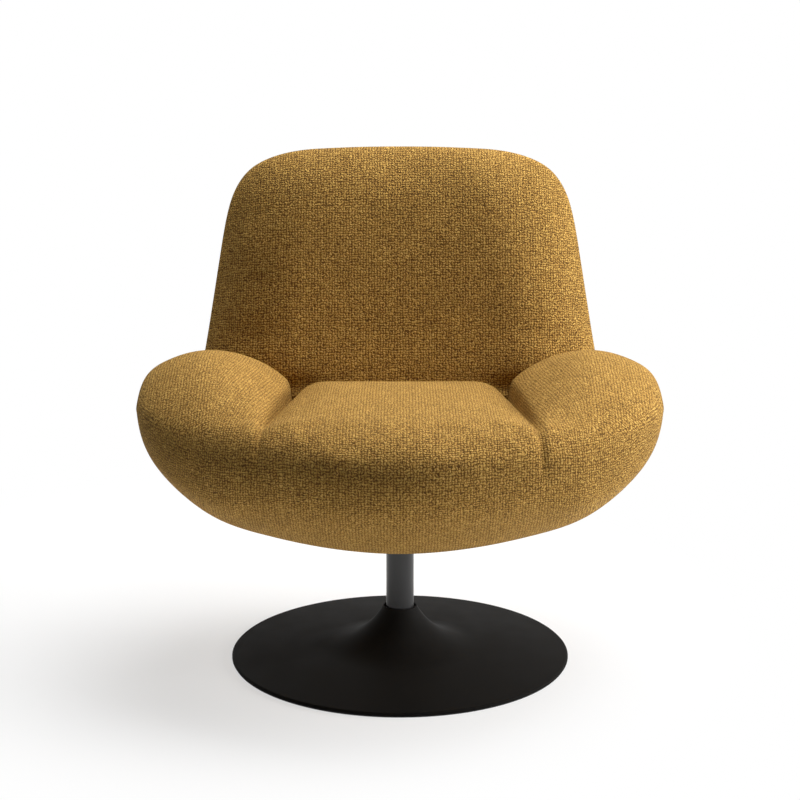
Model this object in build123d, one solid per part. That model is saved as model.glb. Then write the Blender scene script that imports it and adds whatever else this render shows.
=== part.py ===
from build123d import *
import os
from collections import namedtuple
from math import atan2, cos, hypot, radians, sin, sqrt

# Swivel armchair, millimetres, +Z up, front towards -Y.
# The origin is on the floor, on the column's axis.

# Trumpet base
base_diameter = 520.0
collar_height = 82.0
flare_diameter = 240.0
flare_height = 19.0
rim_height = 7.0
rim_round = 2.0
cover_wall = 2.4
floor_ring_height = 3.0
floor_ring_width = 55.0
floor_ring_setback = 1.5
floor_ring_round = 0.75
weight_setback = 20.0
weight_seat_height = 15.0
base_gap = 0.3
mouth_lip = 1.5
mouth_recess = 3.0

# Post, column and bearings
column_diameter = 42.4
collar_gap = 4.6
column_wall = 2.6
column_foot = 66.0
post_diameter = 30.0
post_shoulder_diameter = 40.0
post_flange_diameter = 116.0
post_flange_thickness = 8.0
post_end_gap = 8.0
running_clearance = 0.05
press_clearance = 0.02
thrust_washer_thickness = 2.0
bush_flange_thickness = 2.0
lower_bush_length = 30.0
upper_bush_length = 30.0
ring_thickness = 1.5
ring_groove_depth = 1.4
ring_reach = 3.0
ring_end_gap = 6.0
ring_play = 0.5
ring_clearance = 0.6
ring_land = 4.4
collar_ring_height = 8.0
collar_ring_setback = 4.0
collar_ring_clearance = 0.35

# Fasteners
bolt_diameter = 8.0
bolt_head_diameter = 13.0
bolt_head_height = 5.3
bolt_hole_clearance = 0.2
head_pocket_clearance = 0.8
washer_diameter = 20.0
washer_thickness = 1.6
base_bolt_circle = 84.0
insert_diameter = 12.0
insert_length = 9.0
back_insert_length = 7.5
back_insert_depth = 1.2
tee_nut_diameter = 22.0
tee_nut_flange = 1.5
tee_nut_barrel = 10.5
tee_nut_length = 9.0

# Seat bowl; heights in the rows are above its flat underside
seat_bottom = 204.0
seat_width = 790.0
seat_front = 365.0
seat_rear = 312.0
crease_spread = 170.0
crease_slant = 0.1275
cover_thickness = 2.5
soft_gap = 0.3
foam_gap = 0.8
shell_wall = 10.0
shell_rim = 116.0
shell_floor = 18.0
plate_size = 140.0
plate_thickness = 6.0
plate_corner = 16.0
plate_bolt_pitch = 104.0

# Back, in its own leaning frame
back_lean = 19.0
back_length = 501.0
back_foot_depth = 135.0
back_foot_height = 72.0
back_curve = 4000.0
back_middle = 48.0
pocket_gap = 0.5
back_shell_thickness = 10.0
back_shell_foot = 30.0
back_shell_waist = 197.0
back_shell_top = 450.0
back_shell_foot_width = 430.0
back_shell_waist_width = 518.0
back_shell_top_width = 440.0
back_shell_corner = 60.0

# Brackets
bracket_spread = 84.0
bracket_width = 38.0
bracket_thickness = 8.0
bracket_bend = 30.0
bracket_setback = 295.0
bracket_bolt_inset = 25.0
bracket_top = 330.0
bracket_clearance = 0.5
spacer_diameter = 24.0
spacer_length = 2.6
bracket_rear_bolt = 85.0
back_bolt_heights = (120.0, 300.0)

# One row for each cross-section of the seat bowl, from the middle to the arm's tip.
SeatRow = namedtuple(
    "SeatRow",
    "from_tip setback lip roll_run roll under_run under low_place low "
    "rear_setback rear shoulder_run shoulder crown",
)
seat_middle = SeatRow(None, 0, 188, 70, 243, 20, 123, 60, -4, 0, 111, 34, 168, 0.034)
seat_crease = SeatRow(None, 59, 184, 61, 233, 16, 127, 55, 18, 9, 116, 35, 162, 0.002)
arm_rows = (
    SeatRow(115, 114, 176, 66, 228, 14, 121, 40, 62, 50, 156, 72, 226, 0.105),
    SeatRow(40, 207, 181, 48, 221, 12, 146, 25, 118, 105, 172, 70, 222, 0.1),
    SeatRow(6.5, 293, 194, 27, 216, 14, 173, 18, 162, 190, 194, 42, 221, 0.08),
    SeatRow(0.5, 326, 200, 18, 211, 9, 189, 12, 184, 240, 199, 26, 213, 0.06),
)
# Arc heights as shares of their chords, from the lowest point round the lip; the top uses the row's crown.
seat_bulges = (0.115, 0.085, 0.2, None, 0.17, 0.16)
# How a wall's thickness is shared out where the outline turns.
under_share = 0.7
shoulder_in = 0.4
shoulder_down = 0.9

# One row for each cross-section of the back: height, half width, thickness.
back_foot_rows = ((0.0, 210.0, 60.0), (28.0, 267.0, 86.0), (97.0, 305.0, 96.0), (197.0, 312.0, 98.0))
back_top_rows = (
    (191.0, 294.0, 96.0),
    (91.0, 276.0, 88.0),
    (36.0, 252.0, 70.0),
    (10.0, 213.0, 44.0),
    (0.0, 177.0, 22.0),
)

# Worked out from the sizes above
base_radius = base_diameter / 2
column_radius = column_diameter / 2
collar_radius = column_radius + collar_gap
column_bore = column_radius - column_wall
post_radius = post_diameter / 2
shoulder_radius = post_shoulder_diameter / 2
bolt_radius = bolt_diameter / 2
bolt_hole = bolt_radius + bolt_hole_clearance
head_pocket = bolt_head_diameter / 2 + head_pocket_clearance
insert_radius = insert_diameter / 2
thread_bore = bolt_radius + running_clearance
plate_bottom = seat_bottom - plate_thickness
plate_hole = post_radius + ring_reach
floor_level = seat_bottom + shell_floor
nut_pocket = tee_nut_diameter / 2 + head_pocket_clearance
nut_top = floor_level + tee_nut_flange + head_pocket_clearance
bracket_front = seat_front - bracket_setback
bracket_bolt_places = (bracket_bolt_inset - bracket_front, bracket_rear_bolt)
half_width = seat_width / 2
shell_inset = cover_thickness + soft_gap
far = 2 * seat_width
over = 1.0


def disc(radius, bottom, top, x=0, y=0):
    return Pos(x, y, bottom) * Cylinder(radius, top - bottom, align=(Align.CENTER, Align.CENTER, Align.MIN))


def sleeve(outer, inner, bottom, top, x=0, y=0):
    return disc(outer, bottom, top, x, y) - disc(inner, bottom - over, top + over, x, y)


def below(height):
    return Pos(0, 0, height) * Box(far, far, far, align=(Align.CENTER, Align.CENTER, Align.MAX))


def above(height):
    return Pos(0, 0, height) * Box(far, far, far, align=(Align.CENTER, Align.CENTER, Align.MIN))


def group(solids):
    return Compound(children=[solid.solid() for solid in solids])


def save(shape, node):
    export_step(shape, f"parts/{node}.step")


# Trumpet base: an arc from the mouth that runs into a shallow cone and a rounded rim
def bell(inset):
    slope = atan2(flare_height - rim_height, base_radius - rim_round - flare_diameter / 2)
    up = (sin(slope), cos(slope))
    foot = (flare_diameter / 2, flare_height)
    mouth = (collar_radius - foot[0], collar_height - foot[1])
    radius = (mouth[0] ** 2 + mouth[1] ** 2) / (2 * (mouth[0] * up[0] + mouth[1] * up[1]))
    centre = (foot[0] + up[0] * radius, foot[1] + up[1] * radius)
    reach = radius + inset

    def on_arc(height):
        return centre[0] - sqrt(reach**2 - (height - centre[1]) ** 2)

    lower = (foot[0] - up[0] * inset, foot[1] - up[1] * inset)
    middle = (lower[1] + collar_height) / 2
    edge_radius = base_radius - inset
    edge_top = rim_height - rim_round
    shoulder = (base_radius - rim_round, rim_height)
    turn = (shoulder[0] - up[0] * inset, shoulder[1] - up[1] * inset)
    outline = [
        ThreePointArc((on_arc(collar_height), collar_height), (on_arc(middle), middle), lower),
        Line(lower, turn),
        Line(turn, (edge_radius, edge_top)),
        Line((edge_radius, edge_top), (edge_radius, floor_ring_height)),
        Line((edge_radius, floor_ring_height), (0, floor_ring_height)),
        Line((0, floor_ring_height), (0, collar_height)),
        Line((0, collar_height), (on_arc(collar_height), collar_height)),
    ]
    return revolve(Plane.XZ * make_face(outline), Axis.Z)


def ring_of_four(make, pitch):
    return [make(x, y) for x in (-pitch / 2, pitch / 2) for y in (-pitch / 2, pitch / 2)]


base_pitch = base_bolt_circle / sqrt(2)
flange_bottom = weight_seat_height
flange_top = flange_bottom + post_flange_thickness
head_seat = floor_ring_height + bolt_head_height + 2 * base_gap
shoulder_top = column_foot - bush_flange_thickness - running_clearance - thrust_washer_thickness
post_top = plate_bottom - post_end_gap
ring_bottom = post_top - ring_land


def make_base_cover():
    outer = bell(0)
    at_rim = outer.edges().filter_by(GeomType.CIRCLE).sort_by(lambda edge: abs(edge.center().Z - rim_height))
    outer = fillet(at_rim[0], rim_round)
    mouth = disc(collar_radius - mouth_lip, collar_height - mouth_recess, collar_height + over)
    return outer - bell(cover_wall) - mouth


def make_base_weight():
    body = bell(cover_wall + base_gap)
    weight = body & disc(base_radius - weight_setback, floor_ring_height, flare_height - cover_wall)
    weight -= disc(post_flange_diameter / 2 + base_gap, flange_bottom, collar_height)
    for hole in ring_of_four(lambda x, y: disc(bolt_hole, 0, collar_height, x, y), base_pitch):
        weight -= hole
    for hole in ring_of_four(lambda x, y: disc(head_pocket, 0, head_seat, x, y), base_pitch):
        weight -= hole
    return weight


def make_floor_ring():
    outer = base_radius - floor_ring_setback
    ring = sleeve(outer, outer - floor_ring_width, 0, floor_ring_height)
    bottom = ring.faces().sort_by(Axis.Z)[0]
    return fillet(bottom.edges(), floor_ring_round)


def make_base_post():
    post = disc(post_flange_diameter / 2, flange_bottom, flange_top)
    post += disc(shoulder_radius, flange_top, shoulder_top)
    post += disc(post_radius, shoulder_top, post_top)
    post -= sleeve(post_diameter, post_radius - ring_groove_depth, ring_bottom, ring_bottom + ring_thickness)
    for hole in ring_of_four(lambda x, y: disc(bolt_hole, 0, flange_top + over, x, y), base_pitch):
        post -= hole
    return post


def bolt(head_bottom, head_top, end, x=0, y=0):
    head = disc(bolt_head_diameter / 2, head_bottom, head_top, x, y)
    if end > head_top:
        return head + disc(bolt_radius, head_top, end, x, y)
    return head + disc(bolt_radius, end, head_bottom, x, y)


def make_retaining_ring():
    outer = post_radius + ring_reach - ring_clearance
    inner = post_radius - ring_groove_depth + press_clearance
    ring = sleeve(outer, inner, ring_bottom, ring_bottom + ring_thickness - press_clearance)
    gap = Pos(0, post_radius, ring_bottom) * Box(ring_end_gap, post_diameter, post_diameter)
    return ring - gap


def make_lower_bush():
    inner = post_radius + running_clearance
    flange = sleeve(column_radius - base_gap, inner, column_foot - bush_flange_thickness, column_foot)
    return flange + sleeve(column_bore - press_clearance, inner, column_foot, column_foot + lower_bush_length)


def make_upper_bush():
    top = ring_bottom - ring_play
    inner = post_radius + running_clearance
    return sleeve(column_bore - press_clearance, inner, top - upper_bush_length, top)


def make_collar_ring():
    top = collar_height - collar_ring_setback
    band = sleeve(flare_diameter / 2, column_radius + collar_ring_clearance, top - collar_ring_height, top)
    return band & bell(cover_wall + press_clearance)


def make_seat_plate():
    outline = RectangleRounded(plate_size, plate_size, plate_corner)
    plate = Pos(0, 0, plate_bottom) * extrude(outline, plate_thickness)
    plate -= disc(plate_hole, 0, seat_bottom + over)
    for hole in ring_of_four(lambda x, y: disc(bolt_hole, 0, seat_bottom + over, x, y), plate_bolt_pitch):
        plate -= hole
    return plate


# Back: sections are curved slots about one long radius, stood up in a leaning frame
back_frame = Location((0, back_foot_depth, seat_bottom + back_foot_height), (-back_lean, 0, 0))
curve_centre = back_middle - back_curve


def back_section(height, half, thickness):
    cap = thickness / 2
    swing = (half - cap) / back_curve

    def place(radius, angle, along=0):
        x = radius * sin(angle) + along * cos(angle)
        return (x, curve_centre + radius * cos(angle) - along * sin(angle))

    near = back_curve - cap
    wide = back_curve + cap
    lean_in = cap / sqrt(2)
    edges = [ThreePointArc(place(near, -swing), place(near, 0), place(near, swing))]
    tip = place(back_curve, swing, cap)
    edges.append(ThreePointArc(place(near, swing), place(back_curve - lean_in, swing, lean_in), tip))
    edges.append(ThreePointArc(tip, place(back_curve + lean_in, swing, lean_in), place(wide, swing)))
    edges.append(ThreePointArc(place(wide, swing), place(wide, 0), place(wide, -swing)))
    tip = place(back_curve, -swing, -cap)
    edges.append(ThreePointArc(place(wide, -swing), place(back_curve + lean_in, -swing, -lean_in), tip))
    edges.append(ThreePointArc(tip, place(back_curve - lean_in, -swing, -lean_in), place(near, -swing)))
    return Pos(0, 0, height) * make_face(edges)


def back_form(inset):
    rows = list(back_foot_rows)
    rows += [(back_length - drop, half, thick) for drop, half, thick in back_top_rows]
    sections = []
    for height, half, thick in rows:
        moved = height + inset * (1 - 2 * height / back_length)
        sections.append(back_section(moved, half - inset, thick - 2 * inset))
    return back_frame * loft(sections)


def back_round(radius):
    return Pos(0, curve_centre, 0) * disc(radius, -back_length, 2 * back_length)


def back_panel(grow):
    half = back_shell_thickness / 2 + grow
    corners = [
        (back_shell_foot_width / 2, back_shell_foot),
        (back_shell_waist_width / 2, back_shell_waist),
        (back_shell_top_width / 2, back_shell_top),
    ]
    corners += [(-x, height) for x, height in reversed(corners)]
    outline = make_face(FilletPolyline(*corners, radius=back_shell_corner, close=True))
    if grow:
        outline = offset(outline, grow)
    blank = extrude(Plane.XZ * outline, back_length, both=True)
    return back_frame * (blank & (back_round(back_curve + half) - back_round(back_curve - half)))


def back_rod(radius, near, beyond, x, height):
    rod = Cylinder(radius, beyond - near, align=(Align.CENTER, Align.CENTER, Align.MIN))
    return back_frame * (Pos(x, near, height) * Rot(-90, 0, 0) * rod)


# Seat bowl: sections across the chair, lofted outwards from the middle and from each crease
def seat_loop(row, inset):
    lip = row.setback - seat_front
    rear = seat_rear - row.rear_setback
    points = [
        (row.low_place, row.low + inset),
        (lip + row.under_run + under_share * inset, row.under + under_share * inset),
        (lip + inset, row.lip),
        (lip + row.roll_run, row.roll - inset),
        (rear - row.shoulder_run - shoulder_in * inset, row.shoulder - shoulder_down * inset),
        (rear - inset, row.rear),
    ]
    edges = []
    for index, bulge in enumerate(seat_bulges):
        start = points[index]
        end = points[(index + 1) % len(points)]
        share = row.crown if bulge is None else bulge
        chord = hypot(end[0] - start[0], end[1] - start[1])
        edges.append(SagittaArc(start, end, share * chord))
    return make_face(edges)


def crease_plane(side):
    origin = (side * crease_spread, 0, seat_bottom)
    return Plane(origin, x_dir=(-side * crease_slant, 1, 0), z_dir=(1, side * crease_slant, 0))


def cross_plane(x):
    return Plane((x, 0, seat_bottom), x_dir=(0, 1, 0), z_dir=(1, 0, 0))


def seat_middle_form(inset):
    crease = seat_loop(seat_crease, inset)
    middle = cross_plane(0) * seat_loop(seat_middle, inset)
    return loft([crease_plane(-1) * crease, middle, crease_plane(1) * crease])


def arm_form(inset):
    sections = [crease_plane(1) * seat_loop(seat_crease, inset)]
    for row in arm_rows:
        share = row.from_tip / arm_rows[0].from_tip
        place = half_width - row.from_tip - inset * (1 - share)
        sections.append(cross_plane(place) * seat_loop(row, inset * sqrt(share)))
    return loft(sections)


def seat_form(inset):
    arm = arm_form(inset)
    whole = seat_middle_form(inset) + arm + mirror(arm, about=Plane.YZ)
    return whole & above(seat_bottom + inset)


def seat_solid(inset):
    return seat_form(inset) - back_form(-pocket_gap - inset)


# Brackets: flat bars that lie on the seat shell's floor and turn up behind the back shell
panel_rear = curve_centre + sqrt((back_curve + back_shell_thickness / 2) ** 2 - bracket_spread**2)
bar_front = panel_rear + spacer_length
bar_rear = bar_front + bracket_thickness
bar_top = floor_level + bracket_thickness
insert_rear = panel_rear - back_insert_depth
insert_front = insert_rear - back_insert_length


def bracket_bar(side, grow=0):
    middle = (bar_front + bar_rear) / 2
    lean = radians(back_lean)
    level = floor_level + bracket_thickness / 2
    foot_height = seat_bottom + back_foot_height
    bend = (level - foot_height + middle * sin(lean)) / cos(lean)
    places = [(-bracket_front - grow, level)]
    for along in (bend, bracket_top + grow):
        depth = back_foot_depth + along * sin(lean) + middle * cos(lean)
        places.append((depth, foot_height + along * cos(lean) - middle * sin(lean)))
    route = FilletPolyline(*[(side * bracket_spread, y, z) for y, z in places], radius=bracket_bend)
    start = Plane(route @ 0, x_dir=(1, 0, 0), z_dir=route % 0)
    return sweep(start * Rectangle(bracket_width + 2 * grow, bracket_thickness + 2 * grow), path=route)


bracket_spots = [(side * bracket_spread, y) for side in (-1, 1) for y in bracket_bolt_places]
back_spots = [(side * bracket_spread, height) for side in (-1, 1) for height in back_bolt_heights]
bracket_cutters = [bracket_bar(side, bracket_clearance) for side in (-1, 1)]


def make_bracket(side):
    bar = bracket_bar(side)
    for x, y in bracket_spots:
        bar -= disc(bolt_hole, floor_level - over, bar_top + over, x, y)
    for x, height in back_spots:
        bar -= back_rod(bolt_hole, bar_front - over, bar_rear + over, x, height)
    return bar


def make_seat_shell():
    hollow = seat_form(shell_inset + shell_wall) & above(floor_level)
    shell = seat_form(shell_inset) - hollow - back_form(-pocket_gap - shell_inset)
    shell = shell & below(seat_bottom + shell_rim)
    for cutter in bracket_cutters:
        shell -= cutter & above(floor_level)
    barrel_bottom = floor_level - tee_nut_length
    barrel = tee_nut_barrel / 2 + press_clearance
    cut_top = floor_level + over
    for hole in ring_of_four(lambda x, y: disc(bolt_hole, 0, cut_top, x, y), plate_bolt_pitch):
        shell -= hole
    for hole in ring_of_four(lambda x, y: disc(barrel, barrel_bottom, cut_top, x, y), plate_bolt_pitch):
        shell -= hole
    for hole in ring_of_four(lambda x, y: disc(nut_pocket, floor_level, nut_top, x, y), plate_bolt_pitch):
        shell -= hole
    for x, y in bracket_spots:
        shell -= disc(insert_radius + press_clearance, floor_level - insert_length, cut_top, x, y)
    return shell


def make_tee_nut(x, y):
    flange = sleeve(tee_nut_diameter / 2, thread_bore, floor_level, floor_level + tee_nut_flange, x, y)
    return flange + sleeve(tee_nut_barrel / 2, thread_bore, floor_level - tee_nut_length, floor_level, x, y)


def make_seat_bolt(x, y):
    head_top = plate_bottom - washer_thickness
    return bolt(head_top - bolt_head_height, head_top, floor_level + tee_nut_flange, x, y)


# Seat foam: one block split along the creases into a middle and two arms
def make_seat_foam():
    hollow = seat_form(shell_inset + shell_wall + soft_gap) & above(floor_level + soft_gap)
    block = seat_solid(cover_thickness + foam_gap) & seat_form(cover_thickness)
    block -= below(seat_bottom + shell_rim + soft_gap) - hollow
    for cutter in bracket_cutters:
        block -= cutter
    for x, y in bracket_spots:
        block -= disc(head_pocket, floor_level, bar_top + bolt_head_height + head_pocket_clearance, x, y)
    for hole in ring_of_four(lambda x, y: disc(nut_pocket, floor_level, nut_top, x, y), plate_bolt_pitch):
        block -= hole
    return block


def crease_wedge(side, shift):
    reach = crease_slant * far
    front = side * (crease_spread + reach) + shift
    back = side * (crease_spread - reach) + shift
    outline = Polyline((front, -far), (side * 2 * far, -far), (side * 2 * far, far), (back, far), close=True)
    return extrude(make_face(outline), far)


def make_seat_cover():
    cover = seat_solid(0) - seat_solid(cover_thickness)
    for cutter in bracket_cutters:
        cover -= cutter
    for hole in ring_of_four(lambda x, y: disc(bolt_hole, 0, floor_level, x, y), plate_bolt_pitch):
        cover -= hole
    return cover


def make_back_shell():
    panel = back_panel(0)
    bore = insert_radius + press_clearance
    for x, height in back_spots:
        panel -= back_rod(bore, insert_front - back_middle, bar_front, x, height)
    return panel


def make_back_cover():
    cover = back_form(0) - back_form(cover_thickness)
    for cutter in bracket_cutters:
        cover -= cutter
    return cover


def make_back_foams():
    block = back_form(cover_thickness + soft_gap) - back_panel(soft_gap)
    front = block & back_frame * back_round(back_curve - soft_gap / 2)
    rear = block - back_frame * back_round(back_curve + soft_gap / 2)
    for cutter in bracket_cutters:
        rear -= cutter
    head_end = bar_rear + bolt_head_height + head_pocket_clearance
    for x, height in back_spots:
        rear -= back_rod(head_pocket, bar_front, head_end, x, height)
        rear -= back_rod(spacer_diameter / 2 + soft_gap, back_middle - spacer_diameter, bar_front, x, height)
    return front, rear


def make_back_spacer(x, height):
    blank = back_rod(spacer_diameter / 2, panel_rear - spacer_length, bar_front, x, height)
    bore = back_rod(bolt_hole, insert_front, bar_front + over, x, height)
    return blank - back_frame * back_round(back_curve + back_shell_thickness / 2) - bore


def make_back_insert(x, height):
    outer = back_rod(insert_radius, insert_front, insert_rear, x, height)
    return outer - back_rod(thread_bore, insert_front - over, insert_rear + over, x, height)


def make_back_bolt(x, height):
    head = back_rod(bolt_head_diameter / 2, bar_rear, bar_rear + bolt_head_height, x, height)
    return head + back_rod(bolt_radius, insert_front, bar_rear, x, height)


def make_shell_insert(x, y):
    return sleeve(insert_radius, thread_bore, floor_level - insert_length, floor_level, x, y)


os.makedirs("parts", exist_ok=True)

save(make_base_cover(), "base_cover")
save(make_base_weight(), "base_weight")
save(make_floor_ring(), "floor_ring")
save(make_base_post(), "base_post")
base_bolt_head = head_seat - bolt_head_height
base_bolt_set = ring_of_four(lambda x, y: bolt(base_bolt_head, head_seat, flange_top, x, y), base_pitch)
save(group(base_bolt_set), "base_bolts")
save(make_collar_ring(), "collar_ring")
washer_top = shoulder_top + thrust_washer_thickness
save(sleeve(shoulder_radius, post_radius + running_clearance, shoulder_top, washer_top), "thrust_washer")
save(make_retaining_ring(), "retaining_ring")

save(sleeve(column_radius, column_bore, column_foot, plate_bottom), "column_tube")
save(make_lower_bush(), "lower_bush")
save(make_upper_bush(), "upper_bush")
save(make_seat_plate(), "seat_plate")
save(group(ring_of_four(make_seat_bolt, plate_bolt_pitch)), "seat_bolts")
washer_bottom = plate_bottom - washer_thickness
plate_washers = ring_of_four(
    lambda x, y: sleeve(washer_diameter / 2, bolt_hole, washer_bottom, plate_bottom, x, y), plate_bolt_pitch
)
save(group(plate_washers), "seat_washers")
save(group(ring_of_four(make_tee_nut, plate_bolt_pitch)), "seat_tee_nuts")

save(make_seat_shell(), "seat_shell")
seat_block = make_seat_foam()
right_arm = seat_block & crease_wedge(1, soft_gap / 2)
save(seat_block - crease_wedge(1, -soft_gap / 2) - crease_wedge(-1, soft_gap / 2), "seat_foam")
save(right_arm, "arm_foam_right")
save(mirror(right_arm, about=Plane.YZ), "arm_foam_left")
save(make_seat_cover(), "seat_cover")

save(make_bracket(-1), "bracket_left")
save(make_bracket(1), "bracket_right")
bracket_heads = [
    bolt(bar_top, bar_top + bolt_head_height, floor_level - insert_length, x, y) for x, y in bracket_spots
]
save(group(bracket_heads), "bracket_bolts")
save(group([make_shell_insert(x, y) for x, y in bracket_spots]), "shell_inserts")

save(make_back_shell(), "back_shell")
save(group([make_back_insert(x, height) for x, height in back_spots]), "back_inserts")
save(group([make_back_spacer(x, height) for x, height in back_spots]), "back_spacers")
save(group([make_back_bolt(x, height) for x, height in back_spots]), "back_bolts")
back_foam_front, back_foam_rear = make_back_foams()
save(back_foam_front, "back_foam_front")
save(back_foam_rear, "back_foam_rear")
save(make_back_cover(), "back_cover")
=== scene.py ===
import bpy
import math
import numpy as np
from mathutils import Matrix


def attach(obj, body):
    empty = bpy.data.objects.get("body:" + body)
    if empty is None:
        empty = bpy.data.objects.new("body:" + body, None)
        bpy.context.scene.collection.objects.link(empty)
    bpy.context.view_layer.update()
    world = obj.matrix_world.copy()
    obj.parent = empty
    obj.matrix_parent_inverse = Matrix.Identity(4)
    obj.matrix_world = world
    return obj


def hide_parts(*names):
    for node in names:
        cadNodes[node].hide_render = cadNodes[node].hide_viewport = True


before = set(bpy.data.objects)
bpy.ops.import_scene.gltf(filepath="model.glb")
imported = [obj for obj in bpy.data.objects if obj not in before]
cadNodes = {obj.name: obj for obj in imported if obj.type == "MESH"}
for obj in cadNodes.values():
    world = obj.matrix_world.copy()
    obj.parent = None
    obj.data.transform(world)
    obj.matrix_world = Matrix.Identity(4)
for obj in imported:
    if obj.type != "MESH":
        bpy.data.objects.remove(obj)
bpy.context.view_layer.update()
scene = bpy.context.scene
scene.view_settings.view_transform = "Standard"
bpy.ops.object.select_all(action="DESELECT")
print("frame loaded,", len(cadNodes), "nodes")


# small helpers for curves and meshes

def smoothThrough(knots, values, at):
    # cubic curve through rows of values, with an even bend at both ends
    knots = np.asarray(knots, float)
    values = np.asarray(values, float)
    flat = values.reshape(len(knots), -1)
    count = len(knots)
    gap = np.diff(knots)
    system = np.zeros((count, count))
    right = np.zeros_like(flat)
    system[0, :2] = (1, -1)
    system[-1, -2:] = (-1, 1)
    for k in range(1, count - 1):
        system[k, k - 1:k + 2] = (gap[k - 1], 2 * (gap[k - 1] + gap[k]), gap[k])
        right[k] = 6 * ((flat[k + 1] - flat[k]) / gap[k] - (flat[k] - flat[k - 1]) / gap[k - 1])
    bend = np.linalg.solve(system, right)
    at = np.atleast_1d(np.asarray(at, float))
    part = np.clip(np.searchsorted(knots, at, side="right") - 1, 0, count - 2)
    wide = gap[part][:, None]
    a = (knots[part + 1] - at)[:, None] / wide
    b = 1 - a
    out = a * flat[part] + b * flat[part + 1]
    out += ((a ** 3 - a) * bend[part] + (b ** 3 - b) * bend[part + 1]) * wide ** 2 / 6
    return out.reshape((len(at),) + values.shape[1:])


def easeStep(low, high, value):
    t = np.clip((value - low) / (high - low), 0, 1)
    return t * t * (3 - 2 * t)


def gridNormals(points):
    # points[i, j] with j closed
    along = np.gradient(points, axis=0)
    around = np.roll(points, -1, axis=1) - np.roll(points, 1, axis=1)
    out = np.cross(along, around)
    return out / np.maximum(np.linalg.norm(out, axis=2, keepdims=True), 1e-9)


def gridFaces(rows, columns):
    faces = []
    for i in range(rows - 1):
        for j in range(columns):
            k = (j + 1) % columns
            here, after = i * columns, (i + 1) * columns
            faces.append((here + j, here + k, after + k, after + j))
    return faces


def buildMesh(name, points, faces):
    mesh = bpy.data.meshes.new(name)
    mesh.from_pydata([tuple(p) for p in points], [], faces)
    mesh.validate()
    piece = bpy.data.objects.new(name, mesh)
    scene.collection.objects.link(piece)
    bpy.ops.object.select_all(action="DESELECT")
    piece.select_set(True)
    bpy.context.view_layer.objects.active = piece
    bpy.ops.object.mode_set(mode="EDIT")
    bpy.ops.mesh.select_all(action="SELECT")
    bpy.ops.mesh.normals_make_consistent(inside=False)
    bpy.ops.object.mode_set(mode="OBJECT")
    return piece


def readPoints(mesh):
    flat = np.empty(len(mesh.vertices) * 3, np.float64)
    mesh.vertices.foreach_get("co", flat)
    return flat.reshape(-1, 3)


def puffUp(piece, held, cap):
    # swells the skin against its held points and returns the new places
    start = readPoints(piece.data)
    group = piece.vertex_groups.new(name="held")
    for index in np.nonzero(held > 0.01)[0]:
        group.add([int(index)], float(held[index]), "REPLACE")
    filling = piece.modifiers.new("puff", "CLOTH")
    cloth = filling.settings
    cloth.quality = puff["steps"]
    cloth.mass = puff["mass"]
    cloth.tension_stiffness = puff["stretch"]
    cloth.compression_stiffness = puff["stretch"]
    cloth.shear_stiffness = puff["stretch"]
    cloth.bending_stiffness = puff["bend"]
    cloth.vertex_group_mass = "held"
    cloth.use_pressure = True
    cloth.uniform_pressure_force = puff["pressure"]
    cloth.effector_weights.gravity = 0
    filling.collision_settings.use_collision = False
    filling.collision_settings.use_self_collision = False
    for step in range(1, puff["frames"] + 1):
        scene.frame_set(step)
    moved = readPoints(piece.evaluated_get(bpy.context.evaluated_depsgraph_get()).data)
    piece.modifiers.remove(filling)
    piece.vertex_groups.remove(group)
    scene.frame_set(1)
    shift = moved - start
    far = np.linalg.norm(shift, axis=1, keepdims=True)
    share = cap * np.tanh(far / cap) / np.maximum(far, 1e-9)
    return start + shift * np.where(far > 1e-9, share, 1)


def writePoints(mesh, points):
    mesh.vertices.foreach_set("co", np.asarray(points, np.float32).ravel())
    mesh.update()


def writeCorners(mesh, corners):
    layer = mesh.uv_layers.new(name="weave")
    layer.data.foreach_set("uv", np.asarray(corners, np.float32).ravel())


def subdivideOnce(piece):
    bpy.ops.object.select_all(action="DESELECT")
    piece.select_set(True)
    bpy.context.view_layer.objects.active = piece
    finer = piece.modifiers.new("finer", "SUBSURF")
    finer.levels = 1
    finer.render_levels = 1
    finer.uv_smooth = "NONE"
    bpy.ops.object.modifier_apply(modifier=finer.name)
    bpy.ops.object.shade_smooth()


# camera

view = {"place": (0, -3.742, 1.4127), "pitch": 15.01, "lens": 115.38, "sensor": 36}

bpy.ops.object.camera_add(location=view["place"], rotation=(math.radians(90 - view["pitch"]), 0, 0))
camera = bpy.context.object
camera.data.lens = view["lens"]
camera.data.sensor_width = view["sensor"]
camera.data.clip_end = 100
scene.camera = camera
print("camera set")


# how both skins are filled by the cloth simulation

puff = {"steps": 6, "mass": 0.25, "stretch": 25, "bend": 0.6, "pressure": 4, "frames": 20}


# back cushion: curved slots stood up on a lean, millimetres in its own frame

backPad = {
    "lean": 19, "curve": 4000, "middle": 48,
    "heights": (0, 28, 97, 197, 310, 410, 465, 482, 497, 502.4, 503.4),
    "halves": (165, 222, 308, 316, 299, 281, 259, 242, 204, 166, 131),
    "thicks": (36, 62, 96, 98, 96, 88, 70, 56, 34, 17, 8),
    "topRise": 9, "topFall": 5.5, "topWidth": 165, "topZone": (390, 500),
    "edgeSoft": 55, "edgeReach": 150, "edgeThick": 90,
    "heldZone": (70, 110), "levels": 64, "across": 58, "side": 10,
    # metres
    "foot": (0.135, 0.276), "puffCap": 0.007, "rearOffset": 0.7313,
}


def backProfile(height):
    # half width and thickness at a height
    rows = np.array([backPad["halves"], backPad["thicks"]], float).T
    return np.stack([np.interp(height, backPad["heights"], rows[:, k]) for k in (0, 1)], axis=-1)


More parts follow.
